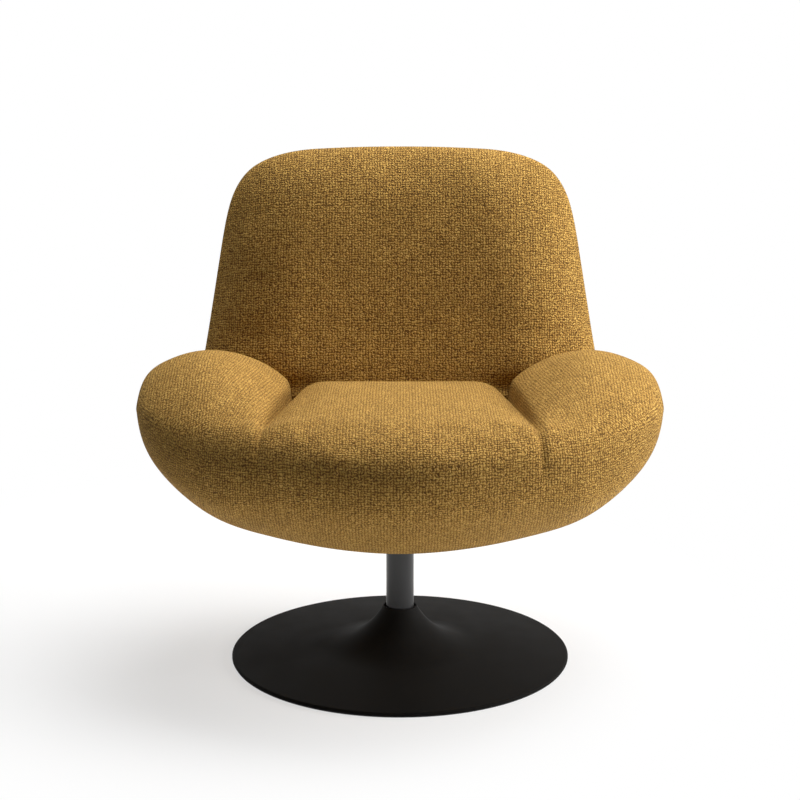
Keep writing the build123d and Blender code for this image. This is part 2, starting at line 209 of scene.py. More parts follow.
def backWorld(local):
    lean = math.radians(backPad["lean"])
    x, deep, high = (local[..., k] / 1000 for k in range(3))
    y = backPad["foot"][0] + high * math.sin(lean) + deep * math.cos(lean)
    z = backPad["foot"][1] + high * math.cos(lean) - deep * math.sin(lean)
    return np.stack([x, y, z], axis=-1)


def backDistance(points):
    # how far points lie outside the back, in metres, level by level
    lean = math.radians(backPad["lean"])
    y = points[..., 1] - backPad["foot"][0]
    z = points[..., 2] - backPad["foot"][1]
    high = 1000 * (y * math.sin(lean) + z * math.cos(lean))
    deep = 1000 * (y * math.cos(lean) - z * math.sin(lean)) - backPad["middle"] + backPad["curve"]
    x = 1000 * points[..., 0]
    profile = backProfile(np.clip(high, 0, backPad["topZone"][1]))
    cap = profile[..., 1] / 2
    along = backPad["curve"] * np.arctan2(x, deep)
    off = np.hypot(x, deep) - backPad["curve"]
    sideways = np.hypot(np.maximum(np.abs(along) - (profile[..., 0] - cap), 0), off) - cap
    under = np.maximum(-high, 0)
    return np.where(under > 0, np.hypot(np.maximum(sideways, 0), under), sideways) / 1000


def makeBack():
    # levels lie closer together where the outline turns
    rows = np.array([backPad["heights"], backPad["halves"], backPad["thicks"]], float).T
    spread = np.abs(np.diff(rows, axis=0)) * (1, 0.5, 0.5)
    knots = np.concatenate([[0], np.cumsum(np.sqrt((spread ** 2).sum(1)))])
    levels = np.linspace(0, knots[-1], backPad["levels"])
    high, half, thick = smoothThrough(knots, rows, levels).T
    across, side = backPad["across"], backPad["side"]
    curve, middle = backPad["curve"], backPad["middle"]
    points = []
    for h, wide, t in zip(high, half, thick):
        cap = t / 2
        swing = (wide - cap) / curve
        turn = np.linspace(-swing, swing, across)
        bend = np.linspace(0, math.pi, side + 2)[1:-1]
        ring = [(a, -cap, 0) for a in turn]
        ring += [(swing, -cap * math.cos(b), cap * math.sin(b)) for b in bend]
        ring += [(a, cap, 0) for a in turn[::-1]]
        ring += [(-swing, cap * math.cos(b), -cap * math.sin(b)) for b in bend]
        ring = np.array(ring)
        # the front turns back a little before its rounded edge
        reached = np.abs(ring[:, 0]) * curve + np.abs(ring[:, 2]) - wide
        nearEdge = np.clip(1 + reached / backPad["edgeReach"], 0, 1)
        thin = min(t / backPad["edgeThick"], 1)
        ring[:, 1] += backPad["edgeSoft"] * nearEdge ** 2 * (1 - ring[:, 1] / cap) / 2 * thin
        reach = curve + ring[:, 1]
        x = reach * np.sin(ring[:, 0]) + ring[:, 2] * np.cos(ring[:, 0])
        deep = middle - curve + reach * np.cos(ring[:, 0]) - ring[:, 2] * np.sin(ring[:, 0])
        points.append(np.stack([x, deep, np.full_like(x, h)], axis=-1))
    local = np.array(points)
    # the top edge arches a little towards its middle
    nearTop = easeStep(*backPad["topZone"], local[..., 2])
    fall = backPad["topFall"] * (local[..., 0] / backPad["topWidth"]) ** 2
    local[..., 2] += nearTop * (backPad["topRise"] - fall)
    columns = local.shape[1]
    faces = gridFaces(len(local), columns)
    # closes the foot and the top with strips from front to rear
    pairs = [(k, 2 * across + side - 1 - k) for k in range(across)]
    pairs += [(across + k, across + side - 1 - k) for k in range(side // 2)]
    left = [((-1 - k) % columns, (columns - side + k) % columns) for k in range(side // 2)]
    strip = left[::-1] + pairs
    for a, b in zip(strip[:-1], strip[1:]):
        for level in (0, len(local) - 1):
            start = level * columns
            quad = [start + a[0], start + b[0], start + b[1], start + a[1]]
            faces.append(tuple(dict.fromkeys(quad)))
    faces = [f for f in faces if len(f) > 2]
    world = backWorld(local)
    piece = buildMesh("back_skin", world.reshape(-1, 3), faces)
    held = 1 - easeStep(*backPad["heldZone"], local[..., 2].ravel())
    puffed = puffUp(piece, held, backPad["puffCap"]).reshape(world.shape)
    mirror = np.array([(across - 1 - k) % columns for k in range(columns)])
    other = puffed[:, mirror] * (-1, 1, 1)
    world = (puffed + other) / 2
    writePoints(piece.data, world.reshape(-1, 3))
    cornersOfBack(piece.data, world, columns)
    subdivideOnce(piece)
    return piece


def cornersOfBack(mesh, world, columns):
    # rows of the weave run level; front and rear are laid out from their own middles
    across, side = backPad["across"], backPad["side"]
    levels = len(world)
    rise = np.zeros(world.shape[:2])
    rise[1:] = np.cumsum(np.linalg.norm(np.diff(world, axis=0), axis=2), axis=0)
    rise = np.repeat(rise[:, [across // 2]], columns, axis=1)
    step = np.linalg.norm(np.roll(world, -1, axis=1) - world, axis=2)
    run = np.concatenate([np.zeros((levels, 1)), np.cumsum(step, axis=1)], axis=1)
    centre = (run[:, [across // 2 - 1]] + run[:, [across // 2]]) / 2
    rearStart = across + side
    rearMiddle = rearStart + across // 2
    rearCentre = (run[:, [rearMiddle - 1]] + run[:, [rearMiddle]]) / 2
    total = run[:, [-1]]
    front = run[:, :-1] - centre
    front = np.where(front > total / 2, front - total, front)
    rear = run[:, :-1] - rearCentre + backPad["rearOffset"]
    corners = np.zeros((len(mesh.loops), 2))
    for face in mesh.polygons:
        spots = [(index // columns, index % columns) for index in face.vertices]
        columnsHere = [spot[1] for spot in spots]
        onRear = min(columnsHere) >= rearStart and max(columnsHere) < rearStart + across
        for corner, (level, column) in zip(face.loop_indices, spots):
            corners[corner] = ((rear if onRear else front)[level, column], rise[level, column])
    writeCorners(mesh, corners)


backSkin = makeBack()
print("back cushion,", len(backSkin.data.polygons), "faces")


# seat bowl with its two arms: one skin, its rows in millimetres above the flat underside

seatPad = {
    "bottom": 204, "front": 365, "rear": 312, "creaseSpread": 175.5, "creaseSlant": 0.081,
    # rows of setback, lip, rollRun, roll, underRun, under, lowPlace, low,
    # rearSetback, rear, shoulderRun, shoulder, crown; those of the arm start with their x
    "middle": (0, 188, 70, 243, 20, 123, 60, -4, 0, 111, 34, 168, 0.027),
    "crease": (59, 184, 61, 233, 16, 127, 55, 18, 9, 116, 35, 162, 0.002),
    "arm": (
        (280, 114, 176, 42, 226, 14, 121, 40, 62, 50, 156, 55, 224, 0.095),
        (355, 207, 181, 31, 222, 12, 146, 25, 118, 105, 172, 40, 223, 0.102),
        (388.5, 293, 194, 17, 215, 14, 173, 18, 162, 190, 194, 20, 218, 0.082),
        (394.5, 326, 200, 8.5, 209, 9, 190, 12, 186, 240, 199, 11, 211, 0.065),
    ),
    # arcs from the lip over the top to the rear, then under and back:
    # bulges of the last three, and the points of each
    "bulges": (0.16, 0.115, 0.085), "counts": (10, 52, 8, 26, 38, 6),
    "evenTurns": 20, "evenReach": 6,
    "step": 11, "fineStep": 3, "fineReach": 36, "outerRows": 34,
    "partColumns": 10, "partZone": (-320, -150),
    # rings that round the end of the arm: share of its thickness, shrink, way out, place
    "endRings": ((0.72, 0.93, 0.9, 6), (0.4, 0.8, 1.5, 10), (0.14, 0.55, 1.8, 13)),
    "creaseDepth": 22, "seatLift": 17, "seatRound": 50,
    "armRun": 17, "armFull": 7, "armFullPlace": 35, "heldCrease": 8,
    # metres
    "creaseFront": -0.316, "creaseLength": 0.36, "creaseEnd": (0.17, 0.25),
    "fullness": 0.003, "fullPlace": 0.165, "fullReach": 0.10, "fullZone": (0.30, 0.36),
    "mouthDrop": 0.007, "mouthReach": 0.010, "mouthDepth": 0.03, "mouthAbove": 0.30,
    "heldTip": (0.32, 0.37), "heldMouth": 0.03, "puffCap": 0.005, "layStep": 0.005,
    # shares and counts
    "creaseGrowth": 0.6, "creaseFacing": (-0.1, 0.3), "creaseEven": 6,
    "mouthSlope": 1.2, "mouthFacing": (0.2, 0.6), "heldFacing": (0.05, 0.6),
    "laySoften": 13, "layEven": 2, "layWobble": (0.94, 1.06), "stretchLimit": 1.4,
}


def arcPoints(start, end, share, count):
    # an arc that bulges to the left of its chord
    start, end = np.array(start, float), np.array(end, float)
    chord = end - start
    long = np.hypot(*chord)
    rise = share * long
    left = np.array([-chord[1], chord[0]]) / long
    if abs(rise) < 1e-6:
        return start + np.linspace(0, 1, count, endpoint=False)[:, None] * chord
    radius = (long * long / 4 + rise * rise) / (2 * rise)
    centre = (start + end) / 2 + left * (rise - radius)
    first = math.atan2(*(start - centre)[::-1])
    last = math.atan2(*(end - centre)[::-1])
    sweep = (last - first + math.pi) % (2 * math.pi) - math.pi
    angles = first + np.linspace(0, 1, count, endpoint=False) * sweep
    return centre + abs(radius) * np.stack([np.cos(angles), np.sin(angles)], axis=1)


def seatLoop(row):
    setback, lip, rollRun, roll, underRun, under, lowPlace, low = row[:8]
    rearSetback, rear, shoulderRun, shoulder, crown = row[8:]
    front = setback - seatPad["front"]
    behind = seatPad["rear"] - rearSetback
    spots = [
        (front, lip), (front + rollRun, roll), (behind - shoulderRun, shoulder),
        (behind, rear), (lowPlace, low), (front + underRun, under),
    ]
    # the arcs beside the crown take up its slope where they meet
    slopes = [math.atan2(b[1] - a[1], b[0] - a[0]) for a, b in zip(spots[:3], spots[1:4])]
    swell = 2 * math.atan(2 * crown)
    lipShare = math.tan((slopes[0] - slopes[1] - swell) / 2) / 2
    shoulderShare = math.tan((slopes[1] - swell - slopes[2]) / 2) / 2
    bulges = (lipShare, crown, shoulderShare, *seatPad["bulges"])
    loop = [
        arcPoints(spots[k], spots[(k + 1) % 6], bulge, count)
        for k, (bulge, count) in enumerate(zip(bulges, seatPad["counts"]))
    ]
    loop = np.concatenate(loop)
    # evens the joins, most of all where the two arcs of the underside meet
    lowest = sum(seatPad["counts"][:4])
    nearLow = np.exp(-((np.arange(len(loop)) - lowest) / seatPad["evenReach"]) ** 2)[:, None]
    for turn in range(seatPad["evenTurns"]):
        share = nearLow if turn > 1 else 1
        around = np.roll(loop, 1, axis=0) + np.roll(loop, -1, axis=0)
        loop = loop + share * (0.25 * around - 0.5 * loop)
    return loop


def seatSections():
    # whole sections on the right-hand side, from the middle outwards
    middle = seatLoop(seatPad["middle"])
    crease = seatLoop(seatPad["crease"])
    slant = seatPad["creaseSlant"]
    scale = 1 / math.hypot(1, slant)
    sections = [np.column_stack([np.zeros(len(middle)), middle])]
    sections.append(np.column_stack([
        seatPad["creaseSpread"] - crease[:, 0] * slant * scale, crease[:, 0] * scale, crease[:, 1]
    ]))
    for row in seatPad["arm"]:
        loop = seatLoop(row[1:])
        sections.append(np.column_stack([np.full(len(loop), row[0]), loop]))
    return np.array(sections)


def makeSeatGrid():
    sections = seatSections()
    upper = sum(seatPad["counts"][:3])
    hop = np.linalg.norm(np.diff(sections[:, [0, upper]], axis=0), axis=2).mean(axis=1)
    knots = np.concatenate([[0], np.cumsum(hop)])
    crease = knots[1]
    inner = np.arange(0, crease - seatPad["fineReach"], seatPad["step"])
    near = np.arange(crease - seatPad["fineReach"], crease, seatPad["fineStep"])
    beyond = np.arange(crease, crease + seatPad["fineReach"], seatPad["fineStep"])
    outer = np.linspace(crease + seatPad["fineReach"], knots[-1], seatPad["outerRows"])
    places = np.concatenate([inner, near, beyond, outer])
    columns = sections.shape[1]
    mirrored = sections[:0:-1] * (-1, 1, 1)
    # parts on either side of the crease, and one even sweep over all of it
    inside = np.array([mirrored[-1], sections[0], sections[1]])
    centre = smoothThrough([-crease, 0, crease], inside, np.concatenate([inner, near]))
    arm = smoothThrough(knots[1:], sections[1:], np.concatenate([beyond, outer]))
    parted = np.concatenate([centre, arm])
    allKnots = np.concatenate([-knots[:0:-1], knots])
    even = smoothThrough(allKnots, np.concatenate([mirrored, sections]), places)
    ahead = upper - np.arange(columns)
    apart = np.where(ahead > 0, easeStep(0, seatPad["partColumns"], ahead), 0)
    apart = apart * easeStep(*seatPad["partZone"], parted[..., 1])
    half = even + (parted - even) * apart[..., None]
    # rounds the end of the arm
    twin = np.array([(-k) % columns for k in range(columns)])
    last = half[-1]
    line = (last + last[twin]) / 2
    heart = line.mean(axis=0)
    ends = []
    endPlaces = []
    for share, shrink, out, further in seatPad["endRings"]:
        ring = line + (last - line) * share
        ring[:, 1:] = heart[1:] + (ring[:, 1:] - heart[1:]) * shrink
        ring[:, 0] = last[:, 0] + out
        ends.append(ring)
        endPlaces.append(places[-1] + further)
    half = np.concatenate([half, ends])
    places = np.concatenate([places, endPlaces])
    whole = np.concatenate([half[:0:-1] * (-1, 1, 1), half])
    whole[..., 2] += seatPad["bottom"]
    creaseGap = np.concatenate([places[:0:-1], places]) - crease
    return whole / 1000, creaseGap, upper


def creaseStrength(points):
    # none at the front edge, full beside the back, gone under it
    behind = (points[..., 1] - seatPad["creaseFront"]) / seatPad["creaseLength"]
    grown = np.clip(behind, 0, 1) ** seatPad["creaseGrowth"]
    return grown * (1 - easeStep(*seatPad["creaseEnd"], points[..., 1]))


def seatNormals(points, upper):
    out = gridNormals(points)
    return out if out[len(points) // 2, upper // 2, 2] > 0 else -out


def shapeSeat(points, creaseGap, upper):
    # a crease that is deep beside the back and fades at the front, and a tuck round the back's foot
    out = seatNormals(points, upper)
    onTop = easeStep(*seatPad["mouthFacing"], out[..., 2])
    near = seatPad["creaseEven"]
    along = sum(np.roll(out, k, axis=0) for k in range(-near, near + 1))
    along /= np.linalg.norm(along, axis=2, keepdims=True)
    column = np.arange(points.shape[1])
    overLip = (column < upper) | (column >= len(column) - seatPad["counts"][-1])
    facing = easeStep(*seatPad["creaseFacing"], along[..., 2]) * overLip
    # the seat's edge rolls over; the arm runs down behind it
    roll = np.clip(1 + creaseGap / seatPad["seatRound"], 0, 1)
    run = np.clip(1 - creaseGap / seatPad["armRun"], 0, 1)
    share = 1 + np.minimum(creaseGap, 0) / -creaseGap.min()
    fall = (seatPad["creaseDepth"] + seatPad["seatLift"]) * (1 - np.sqrt(1 - roll ** 2))
    fall = fall - seatPad["seatLift"] * share ** 2
    beside = np.maximum(creaseGap, 0) / seatPad["armFullPlace"]
    rise = seatPad["creaseDepth"] * run ** 2 - seatPad["armFull"] * beside * np.exp(1 - beside)
    cut = np.where(creaseGap < 0, fall, rise) / 1000
    cut = cut[:, None] * creaseStrength(points) * facing
    points = points - along * cut[..., None]
    # the bowl is a little fuller below, on either side of the middle
    spread = np.exp(-((np.abs(points[..., 0]) - seatPad["fullPlace"]) / seatPad["fullReach"]) ** 2)
    low = 1 - easeStep(*seatPad["fullZone"], points[..., 2])
    points = points + out * (seatPad["fullness"] * spread * low * (column > upper))[..., None]
    # the tuck
    gap = backDistance(points)
    drop = seatPad["mouthDrop"] * np.exp(-np.maximum(gap, 0) / seatPad["mouthReach"])
    drop += np.clip(-gap, 0, seatPad["mouthDepth"]) * seatPad["mouthSlope"]
    drop *= onTop * (points[..., 2] > seatPad["mouthAbove"])
    return points - np.array([0, 0, 1]) * drop[..., None]


def cornersOfSeat(mesh, points):
    # rows of the weave keep their distance from the front edge, over the top and under the bowl
    rows, columns = points.shape[:2]
    seam = sum(seatPad["counts"][:4])
    order = np.arange(seam, seam + columns + 1) % columns
    line = points[:, order]
    run = np.cumsum(np.linalg.norm(np.diff(line, axis=1), axis=2), axis=1)
    far = np.concatenate([np.zeros((rows, 1)), run], axis=1)
    far -= far[:, [columns - seam]]
    steps = np.arange(far.min(), far.max() + seatPad["layStep"], seatPad["layStep"])
    spread = np.array([
        [np.interp(steps, far[i], line[i, :, k]) for k in range(3)] for i in range(rows)
    ])
    hop = np.linalg.norm(np.diff(spread, axis=0), axis=1)
    cross = np.concatenate([np.zeros((1, len(steps))), np.cumsum(hop, axis=0)])
    cross -= cross[rows // 2]
    width = seatPad["laySoften"]
    soften = np.ones(width) / width
    padded = np.pad(cross, ((0, 0), (width // 2, width // 2)), mode="edge")
    cross = np.array([np.convolve(row, soften, mode="valid") for row in padded])
    along = np.array([np.interp(far[i], steps, cross[i]) for i in range(rows)])
    # where that would stretch or squeeze the weave, it is laid flat along the nearest axis instead
    edges = np.stack([np.diff(line, axis=0)[:, :-1], np.diff(line, axis=1)[:-1]], axis=-1)
    flat = np.stack([along, far], axis=-1)
    flat = np.stack([np.diff(flat, axis=0)[:, :-1], np.diff(flat, axis=1)[:-1]], axis=-1)
    square = np.einsum("ijka,ijkb->ijab", edges, edges) + 1e-12 * np.eye(2)
    stretch = np.sqrt(np.maximum(np.linalg.eigvalsh(
        np.einsum("ijka,ijab,ijlb->ijkl", flat, np.linalg.inv(square), flat)
    ), 1e-6))
    strain = np.log(np.maximum(stretch[..., 1], 1 / stretch[..., 0]))
    near = range(-seatPad["layEven"], seatPad["layEven"] + 1)
    for axis in (0, 1):
        strain = sum(np.roll(strain, k, axis=axis) for k in near) / len(near)
    wobble = np.random.default_rng(4).uniform(*seatPad["layWobble"], strain.shape)
    laidFlat = strain * wobble > math.log(seatPad["stretchLimit"])
    corners = np.zeros((len(mesh.loops), 2))
    for face in mesh.polygons:
        spots = [(index // columns, index % columns) for index in face.vertices]
        places = [(column - seam) % columns for level, column in spots]
        # the last faces before the seam end at its far side
        if any(column == seam - 1 for level, column in spots):
            places = [place or columns for place in places]
        level = min(spot[0] for spot in spots)
        onGrid = max(spot[0] for spot in spots) > level
        layFlat = not onGrid or laidFlat[level, min(places)]
        facing = int(np.argmax(np.abs(face.normal)))
        axes = ((1, 2), (0, 2), (0, 1))[facing]
        for corner, (level, column), place in zip(face.loop_indices, spots, places):
            if layFlat:
                corners[corner] = points[level, column, axes[0]], points[level, column, axes[1]]
            else:
                corners[corner] = along[level, place], far[level, place]
    writeCorners(mesh, corners)
    print("weave laid flat on", int(laidFlat.sum()), "of", laidFlat.size, "faces")


def makeSeat():
    points, creaseGap, upper = makeSeatGrid()
    points = shapeSeat(points, creaseGap, upper)
    rows, columns = points.shape[:2]
    faces = gridFaces(rows, columns)
    # closes both tips with strips from the top to the underside
    for i in (0, rows - 1):
        for k in range(upper):
            quad = [k, k + 1, (-k - 1) % columns, (-k) % columns]
            faces.append(tuple(dict.fromkeys(i * columns + q for q in quad)))
    faces = [f for f in faces if len(f) > 2]
    piece = buildMesh("seat_skin", points.reshape(-1, 3), faces)
    onTop = easeStep(*seatPad["heldFacing"], seatNormals(points, upper)[..., 2])
    onTop = onTop * (np.arange(columns) < upper)
    inCrease = np.exp(-(creaseGap[:, None] / seatPad["heldCrease"]) ** 2)
    held = creaseStrength(points) * inCrease
    held = np.maximum(held, 1 - onTop)
    held = np.maximum(held, 1 - easeStep(0, seatPad["heldMouth"], backDistance(points)))
    held = np.maximum(held, easeStep(*seatPad["heldTip"], np.abs(points[..., 0])))
    puffed = puffUp(piece, held.ravel(), seatPad["puffCap"]).reshape(points.shape)
    points = (puffed + puffed[::-1] * (-1, 1, 1)) / 2
    writePoints(piece.data, points.reshape(-1, 3))
    cornersOfSeat(piece.data, points)
    subdivideOnce(piece)
    return piece


seatSkin = makeSeat()
print("seat and arms,", len(seatSkin.data.polygons), "faces")


# node helpers

def newMaterial(name):
    material = bpy.data.materials.new(name)
    material.use_nodes = True
    nodes = material.node_tree.nodes
    return material, nodes, material.node_tree.links, nodes["Principled BSDF"]


def mathNode(nodes, links, kind, first, second=None):
    node = nodes.new("ShaderNodeMath")
    node.operation = kind
    for socket, value in zip(node.inputs, (first, second)):
        if value is None:
            continue
        if isinstance(value, (int, float)):
            socket.default_value = value
        else:
            links.new(value, socket)
    return node.outputs[0]


def rampNode(nodes, links, value, stops):
    ramp = nodes.new("ShaderNodeValToRGB")
    while len(ramp.color_ramp.elements) < len(stops):
        ramp.color_ramp.elements.new(0.5)
    for element, (place, colour) in zip(ramp.color_ramp.elements, stops):
        element.position = place
        element.color = (*colour, 1)
    links.new(value, ramp.inputs["Fac"])
    return ramp.outputs["Color"]


def mixColours(nodes, links, kind, amount, first, second):
    mix = nodes.new("ShaderNodeMix")
    mix.data_type = "RGBA"
    mix.blend_type = kind
    sockets = (mix.inputs[0], mix.inputs[6], mix.inputs[7])
    for socket, value in zip(sockets, (amount, first, second)):
        if isinstance(value, (int, float)):
            socket.default_value = value
        elif isinstance(value, tuple):
            socket.default_value = (*value, 1)
        else:
            links.new(value, socket)
    return mix.outputs[2]


def noiseNode(nodes, links, place, scale, detail):
    noise = nodes.new("ShaderNodeTexNoise")
    noise.inputs["Scale"].default_value = scale
    noise.inputs["Detail"].default_value = detail
    links.new(place, noise.inputs["Vector"])
    return noise


# mustard crepe weave

weave = {
    "row": 0.0042, "cell": 0.0045,
    "sway": (0.0020, 0.0020), "swayScale": 38, "wander": (0.0034, 0.0040), "wanderScale": 200,
    "merge": 0.7, "mergeScale": 260, "acrossMerge": (0.57, 0.65), "alongMerge": (0.45, 0.37),
    "rounding": (1.0, 0.9), "ownTone": 0.4, "leastTone": 0.65,
    "fibreStretch": (1, 2.6, 1), "fibreScale": 1300, "fuzz": 0.3,
    # the gap colour is painted shade for the hollows between the loops, and the crown colour after it
    # is painted light on their tops; the yarn colour is the cloth's own
    "gap": (0.118, 0.057, 0.014), "yarn": (0.44, 0.239, 0.054), "tip": (0.68, 0.425, 0.112),
    "stops": (0.08, 0.5, 0.95),
    "driftScale": 14, "drift": ((0.3, (0.9, 0.89, 0.87)), (0.7, (1.05, 1.05, 1.06))),
    "relief": 0.0011, "roughness": 0.88, "specular": 0.12,
    "sheen": 0.12, "sheenRoughness": 0.4, "sheenTint": (1.0, 0.74, 0.26, 1),
}


def nudge(nodes, links, place, noise, amount):
    # moves a place by a noise, by up to the amount to either side
    centred = nodes.new("ShaderNodeVectorMath")
    centred.operation = "SUBTRACT"
    links.new(noise.outputs["Color"], centred.inputs[0])
    centred.inputs[1].default_value = (0.5, 0.5, 0.5)
    moved = nodes.new("ShaderNodeVectorMath")
    moved.operation = "MULTIPLY_ADD"
    links.new(centred.outputs[0], moved.inputs[0])
    moved.inputs[1].default_value = (2 * amount[0], 2 * amount[1], 0)
    links.new(place, moved.inputs[2])
    return moved.outputs[0]


def stepNode(nodes, links, value, low, high, top=1.0):
    step = nodes.new("ShaderNodeMapRange")
    step.interpolation_type = "SMOOTHSTEP"
    step.inputs["From Min"].default_value = low
    step.inputs["From Max"].default_value = high
    step.inputs["To Max"].default_value = top
    links.new(value, step.inputs["Value"])
    return step.outputs[0]


def closeGap(nodes, links, loop, closed):
    # where closed is 1 the dip between neighbours goes
    rest = mathNode(nodes, links, "SUBTRACT", 1.0, loop)
    filled = mathNode(nodes, links, "MULTIPLY", rest, closed)
    return mathNode(nodes, links, "ADD", loop, filled)


def weaveMaterial():
    material, nodes, links, shader = newMaterial("mustardCrepe")

    def calc(kind, first, second=None):
        return mathNode(nodes, links, kind, first, second)

    cloth = nodes.new("ShaderNodeUVMap")
    cloth.uv_map = "weave"
    flat = cloth.outputs[0]
    broad = noiseNode(nodes, links, flat, weave["swayScale"], 1)
    swayed = nudge(nodes, links, flat, broad, weave["sway"])
    fine = noiseNode(nodes, links, flat, weave["wanderScale"], 1)
    place = nudge(nodes, links, swayed, fine, weave["wander"])
    parts = nodes.new("ShaderNodeSeparateXYZ")
    links.new(place, parts.inputs[0])
    # rows across and cells along each row
    inRows = calc("DIVIDE", parts.outputs[1], weave["row"])
    inCells = calc("DIVIDE", parts.outputs[0], weave["cell"])
    pair = nodes.new("ShaderNodeCombineXYZ")
    links.new(calc("FLOOR", inCells), pair.inputs[0])
    links.new(calc("FLOOR", inRows), pair.inputs[1])
    ownTone = nodes.new("ShaderNodeTexWhiteNoise")
    ownTone.noise_dimensions = "2D"
    links.new(pair.outputs[0], ownTone.inputs["Vector"])
    # rounded loops of yarn, some of them running into the next one along or across
    merge = noiseNode(nodes, links, flat, weave["mergeScale"], 0).outputs["Fac"]
    loops = []
    for within, zone, power in (
        (inRows, weave["acrossMerge"], weave["rounding"][0]),
        (inCells, weave["alongMerge"], weave["rounding"][1]),
    ):
        loop = calc("SINE", calc("MULTIPLY", calc("FRACT", within), math.pi))
        loop = closeGap(nodes, links, loop, stepNode(nodes, links, merge, *zone, weave["merge"]))
        loops.append(calc("POWER", loop, power))
    tone = calc("MULTIPLY", ownTone.outputs["Value"], weave["ownTone"])
    tone = calc("ADD", tone, weave["leastTone"])
    raised = calc("MULTIPLY", calc("MULTIPLY", *loops), tone)
    # fine fibres
    stretch = nodes.new("ShaderNodeMapping")
    stretch.inputs["Scale"].default_value = weave["fibreStretch"]
    links.new(flat, stretch.inputs["Vector"])
    fibre = noiseNode(nodes, links, stretch.outputs[0], weave["fibreScale"], 3)
    fuzz = calc("MULTIPLY", calc("SUBTRACT", fibre.outputs["Fac"], 0.5), weave["fuzz"])
    height = calc("ADD", raised, fuzz)
    # painted shade darkens the gaps between the loops and painted light brightens their crowns, over
    # the mid yarn colour, with a slow drift of tone over the cloth
    tones = zip(weave["stops"], (weave["gap"], weave["yarn"], weave["tip"]))
    colour = rampNode(nodes, links, height, list(tones))
    drift = noiseNode(nodes, links, flat, weave["driftScale"], 4)
    shade = rampNode(nodes, links, drift.outputs["Fac"], weave["drift"])
    colour = mixColours(nodes, links, "MULTIPLY", 1.0, colour, shade)
    links.new(colour, shader.inputs["Base Color"])
    bump = nodes.new("ShaderNodeBump")
    bump.inputs["Strength"].default_value = 1
    bump.inputs["Distance"].default_value = weave["relief"]
    links.new(height, bump.inputs["Height"])
    links.new(bump.outputs[0], shader.inputs["Normal"])
    shader.inputs["Roughness"].default_value = weave["roughness"]
    shader.inputs["Specular IOR Level"].default_value = weave["specular"]
    shader.inputs["Sheen Weight"].default_value = weave["sheen"]
    shader.inputs["Sheen Roughness"].default_value = weave["sheenRoughness"]
    shader.inputs["Sheen Tint"].default_value = weave["sheenTint"]
    return material


crepe = weaveMaterial()
for skin, inside in (
    (seatSkin, ("seat_cover", "seat_foam", "arm_foam_left", "arm_foam_right")),
    (backSkin, ("back_cover", "back_foam_front", "back_foam_rear")),
):
    skin.data.materials.append(crepe)
    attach(skin, "chair")
    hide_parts(*inside)
print("weave on both skins")


# hard finishes: colour, how far it drifts, roughness range, grain size and depth

finishes = {
    "baseBlack": {
        "nodes": ("base_cover",), "colour": (0.0145, 0.014, 0.0133), "drift": 0.25, "metal": 0,
        "rough": (0.52, 0.62), "grain": 2600, "depth": 0.00006, "specular": 0.02,
    },
    "columnGrey": {
        "nodes": ("column_tube",), "colour": (0.031, 0.031, 0.0315), "drift": 0.12, "metal": 0,
        "rough": (0.30, 0.36), "grain": 1800, "depth": 0.00003, "specular": 0.5,
        "stretch": (1, 1, 0.05),
    },
    "plateBlack": {
        "nodes": ("seat_plate", "bracket_left", "bracket_right"),
        "colour": (0.022, 0.022, 0.022), "drift": 0.3, "metal": 0,
        "rough": (0.5, 0.65), "grain": 1900, "depth": 0.0001, "specular": 0.5,
    },
    "ballastIron": {
        "nodes": ("base_weight",), "colour": (0.075, 0.072, 0.07), "drift": 0.5, "metal": 0.6,
        "rough": (0.6, 0.85), "grain": 450, "depth": 0.0005, "specular": 0.5,
    },
    "zincSteel": {
        "nodes": (
            "base_bolts", "seat_bolts", "seat_washers", "seat_tee_nuts", "bracket_bolts", "back_bolts",
        ),
        "colour": (0.52, 0.53, 0.54), "drift": 0.2, "metal": 1,
        "rough": (0.3, 0.5), "grain": 900, "depth": 0.00004, "specular": 0.5,
    },
    "turnedSteel": {
        "nodes": ("base_post", "retaining_ring"),
        "colour": (0.42, 0.42, 0.43), "drift": 0.15, "metal": 1,
        "rough": (0.25, 0.4), "grain": 1500, "depth": 0.00005, "specular": 0.5,
        "stretch": (0.08, 0.08, 1),
    },
    "bearingNylon": {
        "nodes": ("collar_ring", "thrust_washer", "lower_bush", "upper_bush", "back_spacers"),
        "colour": (0.012, 0.012, 0.012), "drift": 0.2, "metal": 0,
        "rough": (0.55, 0.7), "grain": 1400, "depth": 0.00006, "specular": 0.4,
    },
    "floorRing": {
        "nodes": ("floor_ring",), "colour": (0.014, 0.014, 0.014), "drift": 0.3, "metal": 0,
        "rough": (0.7, 0.85), "grain": 1200, "depth": 0.0001, "specular": 0.4,
    },
    "mouldedPly": {
        "nodes": ("seat_shell", "back_shell"),
        "colour": (0.40, 0.26, 0.13), "drift": 0.6, "metal": 0,
        "rough": (0.55, 0.75), "grain": 160, "depth": 0.0002, "specular": 0.4,
        "stretch": (0.06, 1, 1),
    },
    "insertBrass": {
        "nodes": ("shell_inserts", "back_inserts"),
        "colour": (0.62, 0.43, 0.17), "drift": 0.2, "metal": 1,
        "rough": (0.3, 0.45), "grain": 1200, "depth": 0.00004, "specular": 0.5,
    },
}


# what all hard finishes share: a slow cloud, with some of the fine grain in the colour

cloudy = {"scale": 22, "detail": 5, "spread": (0.3, 0.7), "stops": (0.5, 0.9)}
grainy = {"detail": 2, "share": 0.4, "bump": 0.6}


